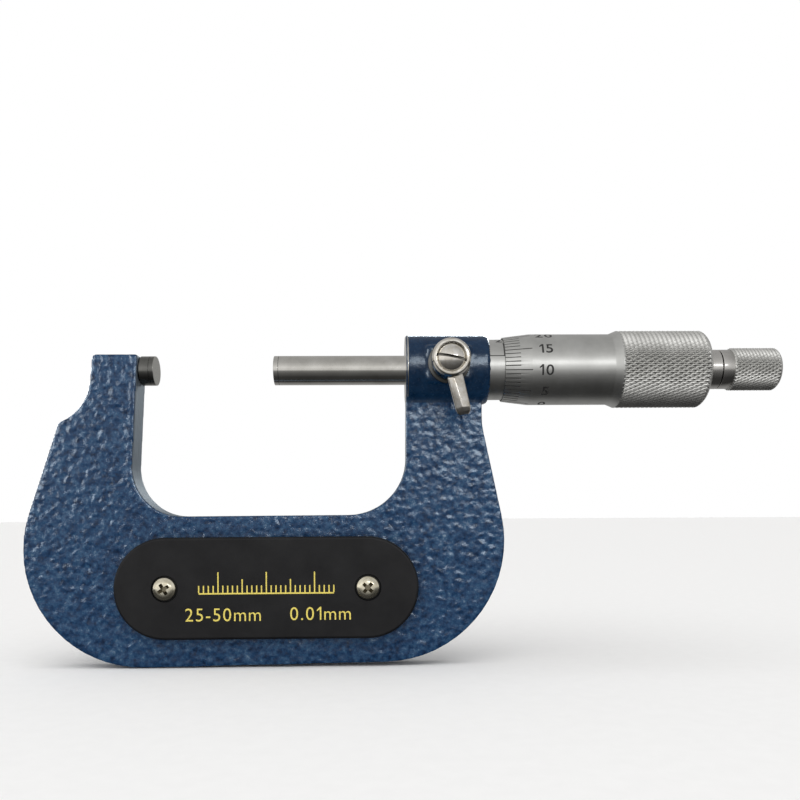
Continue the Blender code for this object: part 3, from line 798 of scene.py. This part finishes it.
def knurled(name, left, right, bore, radius, starts, per_mm, depth, start, end):
    """A ring with a diamond knurl: two families of grooves cut to a depth, chamfered ends.

    start and end are (length, height) of the chamfers, which cut across the knurl.
    """
    quarter = 0.25 / per_mm
    columns = 4 * starts
    places = [left, left + start[0]]
    count = int((right - left - start[0]) / quarter)
    places += [left + start[0] + quarter * (k + 1) for k in range(count)]
    places = sorted(set(places + [right - end[0] * (1 - k / 5) for k in range(6)]))
    points = []

    def ceiling(x):
        low = radius - start[1] * (1 - min(1.0, (x - left) / start[0]))
        share = max(0.0, (x - right + end[0]) / end[0])
        return min(low, radius - end[1] * share ** 1.6)

    def wave(turn):
        return min(0.80, 2 * abs(turn - round(turn))) / 0.80

    origin = left + start[0]
    for x in places:
        top = ceiling(x)
        for k in range(columns):
            angle = math.tau * k / columns
            along = (x - origin) * per_mm
            around_it = k / 4
            high = min(wave(around_it + along), wave(around_it - along))
            r = min(radius - depth + depth * high, top)
            points.append((x, -r * math.cos(angle), r * math.sin(angle)))
    for x, r in ((right, bore), (left, bore)):
        for k in range(columns):
            angle = math.tau * k / columns
            points.append((x, -r * math.cos(angle), r * math.sin(angle)))
    rows = len(places) + 2
    faces = []
    for i in range(rows):
        j = (i + 1) % rows
        for k in range(columns):
            m = (k + 1) % columns
            a, b = i * columns + k, i * columns + m
            c, d = j * columns + m, j * columns + k
            if i >= len(places) - 1:
                faces.append((a, b, c, d))
            elif (i + k + k // 2 + i // 2) % 2:
                faces += [(a, b, c), (a, c, d)]
            else:
                faces += [(a, b, d), (b, c, d)]
    return piece(name, points, faces, [KNURL], sharp=24)


def make_ratchet():
    neck = SHAFT_HIGH.z
    left = THIMBLE_HIGH.x + 0.06
    seat = 120.45
    flange = revolve("ratchet_seat", rounded([
        (left, 0, 0), (left, neck, 0.06), (seat, neck, 0.15), (seat, 3.0, 0), (seat + 0.5, 3.0, 0),
        (seat + 0.5, 1.5, 0), (SHAFT_HIGH.x, 1.5, 0), (SHAFT_HIGH.x, 0, 0)], closed=False),
        [NECK_STEEL], 128, closed=False)
    keep(flange, "thimble", "nickel", "ratchet_shaft")
    knurl_start = 123.05
    collar = revolve("ratchet_collar", rounded([
        (KNOB_LOW.x, neck, 0.15), (KNOB_LOW.x, 3.4, 0), (knurl_start + 0.5, 3.4, 0),
        (knurl_start + 0.5, neck - 0.3, 0), (knurl_start, neck, 0)]), [NECK_STEEL], 128)
    keep(collar, "ratchet", "satin_chrome", "ratchet_knob")
    cap = knurled("ratchet_cap", knurl_start, KNOB_HIGH.x, 2.5, KNOB_HIGH.z, 36, 0.70,
                  0.24, start=(0.30, 0.30), end=(0.8, 0.65))
    keep(cap, "ratchet", "satin_chrome")
    head_low, head_top = 129.16, END_SCREW_HIGH.x
    screw = revolve("ratchet_end_screw_head", rounded([
        (head_top, 0, 0), (head_top, 2.25, 0.25), (head_low, 2.25, 0.05), (head_low, 0.8, 0),
        (END_SCREW_LOW.x, 0.8, 0.2), (END_SCREW_LOW.x, 0, 0)], closed=False),
        [SCREWS], 96, closed=False)
    # The slot's walls take the darker metal: painted shade.
    slot = tapered_bar("end_slot", 8.0, 0.56, 1.0, 1.0, head_top + 0.5, ALONG_X, SLOT_SHADE)
    cut(screw, [slot])
    keep(screw, "thimble", "nickel", "ratchet_end_screw")


# ---------------------------------------------------------------- spindle lock

def make_lock():
    front = Matrix.Translation((LOCK_X * MM, 0, LOCK_Z * MM)) @ TO_FRONT
    hub_r = 3.9
    top = -LEVER_LOW.y
    foot = -LEVER_HIGH.y
    recess = 2.94
    hub = revolve("lock_hub", rounded([
        (top - 0.22, recess - 0.06, 0.05), (top, recess + 0.12, 0.06),
        (top - 0.06, hub_r - 0.35, 0.3), (top - 0.75, hub_r, 0.25), (foot + 1.1, hub_r, 0.2),
        (foot + 0.95, hub_r - 0.25, 0.1), (foot + 0.6, hub_r - 0.25, 0), (foot + 0.6, 2.0, 0),
        (12.7, 2.0, 0), (12.7, recess - 0.06, 0.1)]), [NICKEL], 160, place=front)
    keep(hub, "lock", "nickel", "lock_lever")
    # The flange's dark steel is painted shade: the dark crescent under the hub.
    flange = revolve("lock_flange", rounded([
        (foot + 0.8, hub_r - 0.3, 0.05), (foot + 0.55, hub_r + 0.45, 0.12),
        (foot, hub_r + 0.45, 0.1), (foot, 2.0, 0), (foot + 0.6, 2.0, 0),
        (foot + 0.6, hub_r - 0.3, 0)]), [DARK_STEEL_AND_SHADE], 128, place=front)
    keep(flange, "lock", "nickel")
    arm = lever_arm(hub_r, front)
    keep(arm, "lock", "nickel")
    make_lock_screw(front)


def lever_arm(hub_r, front):
    """The arm, lofted: two long facets meeting in a ridge, and a chamfered tip."""
    tilt = math.radians(13.5)
    reach = 11.55
    sections = [
        (hub_r - 1.2, 1.60, 0.55, 13.0, 12.2, 10.1),
        (hub_r + 0.2, 1.62, 0.45, 13.1, 12.3, 10.1),
        (reach - 1.5, 1.55, 0.10, 13.2, 12.3, 10.3),
        (reach - 0.55, 1.36, 0.05, 12.7, 12.1, 10.5),
        (reach, 0.95, 0.0, 11.9, 11.7, 10.9),
    ]
    points = []
    for along, half, lean, ridge, shoulder, bottom in sections:
        ring = [(-half, bottom), (-half, shoulder - 0.1), (-half + 0.18, shoulder + 0.1),
                (-lean, ridge), (half - 0.18, shoulder + 0.1), (half, shoulder - 0.1),
                (half, bottom), (half - 0.25, bottom - 0.25), (-half + 0.25, bottom - 0.25)]
        for side, out in ring:
            across = side * math.cos(tilt) + along * math.sin(tilt)
            down = side * math.sin(tilt) - along * math.cos(tilt)
            points.append((out, across, down))
    width = 9
    faces = []
    for i in range(len(sections) - 1):
        for k in range(width):
            m = (k + 1) % width
            faces.append((i * width + k, i * width + m, (i + 1) * width + m,
                          (i + 1) * width + k))
    faces.append(tuple(range(width)))
    faces.append(tuple(range(len(points) - width, len(points))))
    arm = piece("lock_arm", points, faces, [NICKEL], place=front)
    soft = arm.modifiers.new("soft_edges", "BEVEL")
    soft.width = 0.16 * MM
    soft.segments = 3
    soft.limit_method = "ANGLE"
    soft.angle_limit = math.radians(12)
    applied(arm)
    arm.data.shade_smooth()
    arm.data.set_sharp_from_angle(angle=math.radians(40))
    return arm


def make_lock_screw(front):
    radius, rise, rim = 2.80, 0.95, 14.15
    sphere = (radius ** 2 + rise ** 2) / (2 * rise)
    half = math.asin(radius / sphere)
    dome = []
    for k in range(17):
        turn = half * k / 16
        dome.append(Vector((rim + rise - sphere * (1 - math.cos(turn)),
                            sphere * math.sin(turn))))
    rows = dome + [Vector((rim - 0.1, radius + 0.02)), Vector((12.8, radius)),
                   Vector((12.8, 0.95)), Vector((9.9, 0.95)), Vector((9.9, 0))]
    screw = revolve("lock_screw_head", rows, [NICKEL], 128, closed=False, place=front)
    turn = Matrix.Rotation(math.radians(90 - 11), 4, "X")
    # The slot's walls take the darker metal: painted shade.
    slot = tapered_bar("lock_slot", 8.0, 0.55, 2.0, 1.0, 16.25, front @ turn, SLOT_SHADE)
    cut(screw, [slot])
    keep(screw, "lock", "nickel", "lock_screw")


# ---------------------------------------------------------------- plates

def stadium(length, height, steps=40):
    radius = height / 2
    reach = length / 2 - radius
    points = []
    for side in (1, -1):
        for k in range(steps + 1):
            angle = math.radians(-90 + 180 * k / steps)
            points.append((side * (reach + radius * math.cos(angle)),
                           side * radius * math.sin(angle)))
    return points


def make_plate(name, side, body_nodes):
    """Insulating plate with a rounded rim and dished screw seats."""
    low, high = span(body_nodes[0])
    length, height = high.x - low.x, high.z - low.z
    middle = (low + high) / 2
    inner, outer = 3.56, 5.36
    outline = stadium(length, height)
    round_r = 0.55
    layers = [(0.0, inner), (0.0, outer - round_r)]
    for k in range(1, 7):
        turn = math.radians(90 * k / 6)
        layers.append((round_r * (1 - math.cos(turn)), outer - round_r + round_r * math.sin(turn)))
    layers.append((round_r + 0.12, outer))
    points = []
    for inset, out in layers:
        for x, z in stadium(length - 2 * inset, height - 2 * inset):
            points.append((x + middle.x, side * out, z + middle.z))
    width = len(outline)
    faces = []
    for i in range(len(layers) - 1):
        for k in range(width):
            m = (k + 1) % width
            faces.append((i * width + k, i * width + m, (i + 1) * width + m,
                          (i + 1) * width + k))
    faces.append(tuple(range(width)))
    faces.append(tuple(range(len(points) - width, len(points))))
    plate = piece(f"{name}_cover", points, faces, [PLASTIC])
    cutters = []
    turn = TO_FRONT if side < 0 else TO_BACK
    for node in body_nodes[1:]:
        s_low, s_high = span(node)
        x, z = (s_low.x + s_high.x) / 2, (s_low.z + s_high.z) / 2
        place = Matrix.Translation((x * MM, 0, z * MM)) @ turn
        cutters.append(revolve(f"{node}_seat", rounded([
            (outer + 1, 0, 0), (outer + 1, 3.1, 0), (outer + 0.01, 2.78, 0.08),
            (outer - 0.45, 2.62, 0.08), (outer - 0.45, 0, 0)], closed=False),
            [PLASTIC], 96, closed=False, place=place))
    cut(plate, cutters)
    for face in plate.data.polygons:
        if abs(face.normal.y) > 0.9999:
            face.use_smooth = False
    keep(plate, "frame", "black_plastic", body_nodes[0])


def make_plate_screw(node, side, cross_angle):
    """Pan head with a tapered cross recess."""
    low, high = span(node)
    x, z = (low.x + high.x) / 2, (low.z + high.z) / 2
    head_r = (high.x - low.x) / 2
    crown = max(abs(low.y), abs(high.y))
    seat = 5.07
    turn = TO_FRONT if side < 0 else TO_BACK
    place = Matrix.Translation((x * MM, 0, z * MM)) @ turn
    rows = rounded([
        (crown, 0, 0), (crown - 0.10, 1.45, 1.5), (crown - 0.72, head_r, 0.35),
        (seat, head_r - 0.03, 0), (seat, 0.9, 0), (1.0, 0.9, 0), (0.5, 0, 0)],
        closed=False, step=7)
    screw = revolve(f"{node}_head", rows, [SCREWS], 96, closed=False, place=place)
    bars = []
    for turn_by in (0, 90):
        spin = Matrix.Rotation(math.radians(cross_angle + turn_by), 4, "X")
        # The cross recess's walls take the darker metal: painted shade.
        bars.append(tapered_bar("cross", 3.2, 0.80, 1.3, 0.35, crown + 0.3, place @ spin,
                               CROSS_SHADE))
    cut(screw, bars)
    keep(screw, "frame", "nickel", node)


def plate_motif(middle, wrap):
    """A plain row of graduation marks between the two screws."""
    bars = [(middle.x - 14.0, middle.x + 14.0, middle.z - 1.2, middle.z - 0.9)]
    for k in range(29):
        x = middle.x - 14.0 + k
        top = middle.z + (3.4 if k % 10 == 4 else 1.9 if k % 5 == 4 else 0.6)
        bars.append((x - 0.13, x + 0.13, middle.z - 0.9, top))
    points = []
    faces = []
    for left, right, low, high in bars:
        start = len(points)
        for out in (-0.015, 0.015):
            points += [wrap(left, low, out), wrap(right, low, out),
                       wrap(right, high, out), wrap(left, high, out)]
        faces += [[start + c for c in corner] for corner in (
            (0, 1, 2, 3), (4, 5, 6, 7), (0, 1, 5, 4), (1, 2, 6, 5), (2, 3, 7, 6), (3, 0, 4, 7))]
    return piece("plate_motif", points, faces, [YELLOW_INK])


def make_plates():
    for label, side in (("front", -1), ("rear", 1)):
        screws = [f"{label}_plate_screw_left", f"{label}_plate_screw_right"]
        make_plate(f"{label}_plate", side, [f"{label}_plate"] + screws)
        for node, cross_angle in zip(screws, (32, 48)):
            make_plate_screw(node, side, cross_angle)

    def on_front(x, z, out):
        return (x, -(-PLATE_LOW.y + out), z)

    middle = (PLATE_LOW + PLATE_HIGH) / 2
    words = [("25-50mm", middle.x - 9.0, middle.z - 5.4),
             ("0.01mm", middle.x + 11.2, middle.z - 5.3)]
    text = letters("plate_text", words, 2.75, YELLOW_INK, on_front, -0.004, 0.16, 0.97)
    keep(text, "frame", "black_plastic")
    motif = plate_motif(middle, on_front)
    keep(motif, "frame", "black_plastic")


# ---------------------------------------------------------------- pieces inside

def dress_inner_pieces():
    steel = plain_metal("inner_steel", (0.52, 0.50, 0.47))
    spring = plain_metal("spring_wire", (0.42, 0.42, 0.44))
    brass = plain_metal("plug_brass", (0.72, 0.53, 0.24))
    for node, finish in (("inner_sleeve", steel), ("adjusting_nut", steel), ("lock_stud", steel),
                         ("ratchet_disc", steel), ("ratchet_spring", spring),
                         ("lock_plug", brass)):
        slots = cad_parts[node].data.materials
        slots.clear()
        slots.append(finish)


# ---------------------------------------------------------------- stage, light and camera

def make_floor():
    bpy.ops.mesh.primitive_circle_add(
        vertices=96, radius=6.0, fill_type="NGON", location=(0, 0, (FRAME_LOW.z - 0.15) * MM))
    floor = bpy.context.object
    floor.name = "floor"
    floor.data.materials.append(floor_paper())
    floor.visible_glossy = False


def area_light(name, place, target, size, power):
    data = bpy.data.lights.new(name, "AREA")
    data.shape = "RECTANGLE"
    data.size, data.size_y = size
    data.energy = power
    lamp = link(bpy.data.objects.new(name, data))
    aim = (Vector(target) - Vector(place)).to_track_quat("-Z", "Y")
    lamp.matrix_world = Matrix.Translation(place) @ aim.to_matrix().to_4x4()
    return lamp


def make_world():
    """White to the camera, and a soft studio dome for light and reflections."""
    world = bpy.data.worlds.new("studio")
    bpy.context.scene.world = world
    world.use_nodes = True
    tree = world.node_tree
    nodes, links = tree.nodes, tree.links
    nodes.clear()
    output = nodes.new("ShaderNodeOutputWorld")
    direction = nodes.new("ShaderNodeTexCoord")
    split = nodes.new("ShaderNodeSeparateXYZ")
    links.new(direction.outputs["Generated"], split.inputs[0])
    flip = nodes.new("ShaderNodeMath")
    flip.operation = "MULTIPLY"
    flip.inputs[1].default_value = -1.0
    links.new(split.outputs["Y"], flip.inputs[0])
    angle = nodes.new("ShaderNodeMath")
    angle.operation = "ARCTAN2"
    links.new(split.outputs["Z"], angle.inputs[0])
    links.new(flip.outputs[0], angle.inputs[1])
    share = nodes.new("ShaderNodeMapRange")
    share.inputs["From Min"].default_value = -math.pi
    share.inputs["From Max"].default_value = math.pi
    links.new(angle.outputs[0], share.inputs["Value"])
    ramp = nodes.new("ShaderNodeValToRGB")
    links.new(share.outputs[0], ramp.inputs["Fac"])
    elevations = [(-180, 0.42), (-140, 0.34), (-118, 0.18), (-106, 0.04), (-60, 0.045),
                  (-28, 0.14), (-12, 0.26), (-4, 0.80), (18, 0.94), (36, 0.72), (60, 0.54),
                  (90, 0.48), (130, 0.48), (180, 0.44)]
    elements = ramp.color_ramp.elements
    while len(elements) < len(elevations):
        elements.new(0.5)
    for element, (degrees, level) in zip(elements, elevations):
        element.position = (degrees + 180) / 360
        element.color = (level * 1.01, level, level * 0.985, 1.0)
    studio = nodes.new("ShaderNodeBackground")
    links.new(ramp.outputs["Color"], studio.inputs["Color"])
    sideways = nodes.new("ShaderNodeMapRange")
    sideways.inputs["From Min"].default_value = -1.0
    sideways.inputs["To Min"].default_value = 1.30
    sideways.inputs["To Max"].default_value = 0.70
    links.new(split.outputs["X"], sideways.inputs["Value"])
    links.new(sideways.outputs[0], studio.inputs["Strength"])
    white = nodes.new("ShaderNodeBackground")
    white.inputs["Color"].default_value = (1.0, 1.0, 1.0, 1.0)
    path = nodes.new("ShaderNodeLightPath")
    mix = nodes.new("ShaderNodeMixShader")
    links.new(path.outputs["Is Camera Ray"], mix.inputs[0])
    links.new(studio.outputs[0], mix.inputs[1])
    links.new(white.outputs[0], mix.inputs[2])
    links.new(mix.outputs[0], output.inputs["Surface"])


def make_lights():
    make_world()
    data = bpy.data.lights.new("sky", "SUN")
    data.energy = 1.5
    data.angle = math.radians(70)
    sky = link(bpy.data.objects.new("sky", data))
    sky.matrix_world = Matrix.Rotation(math.radians(22), 4, "X")
    sky.visible_glossy = False
    area_light("key", (0.20, -0.57, 0.15), (0.05, 0, -0.02), (0.42, 0.025), 0.24)
    for name, side in (("front", -1), ("rear", 1)):
        right = area_light(f"{name}_right_glints", (0.24, side * 0.50, 0.21), (0.05, 0, -0.03),
                           (0.42, 0.24), 5.0)
        left = area_light(f"{name}_left_glints", (-0.36, side * 0.39, 0.115), (0, 0, -0.03),
                          (0.18, 0.22), 2.2)
        for glints in (right, left):
            glints.data.color = (0.82, 0.93, 1.0)
            glints.visible_diffuse = False
            glints.light_linking.receiver_collection = bpy.data.collections["enamelled"]


def make_camera():
    """Level camera in front of the anvil side, turned a touch to the right."""
    data = bpy.data.cameras.new("camera")
    data.sensor_width = 36.0
    data.lens = 36.51
    data.shift_y = 0.14375
    data.clip_start = 0.01
    camera = link(bpy.data.objects.new("camera", data))
    yaw, roll = 0.0212, -0.0066
    ahead = Vector((math.sin(yaw), math.cos(yaw), 0))
    level = Vector((math.cos(yaw), -math.sin(yaw), 0))
    up = Vector((0, 0, 1))
    right = math.cos(roll) * level + math.sin(roll) * up
    top = -math.sin(roll) * level + math.cos(roll) * up
    turn = Matrix((right, top, -ahead)).transposed().to_4x4()
    camera.matrix_world = Matrix.Translation(Vector((48.09, -174.5, -31.11)) * MM) @ turn
    bpy.context.scene.camera = camera


def main():
    make_camera()
    make_frame()
    make_anvil()
    make_spindle()
    make_sleeve()
    make_thimble()
    make_ratchet()
    make_lock()
    make_plates()
    dress_inner_pieces()
    make_floor()
    make_lights()
    bpy.context.scene.view_settings.view_transform = "Standard"


main()
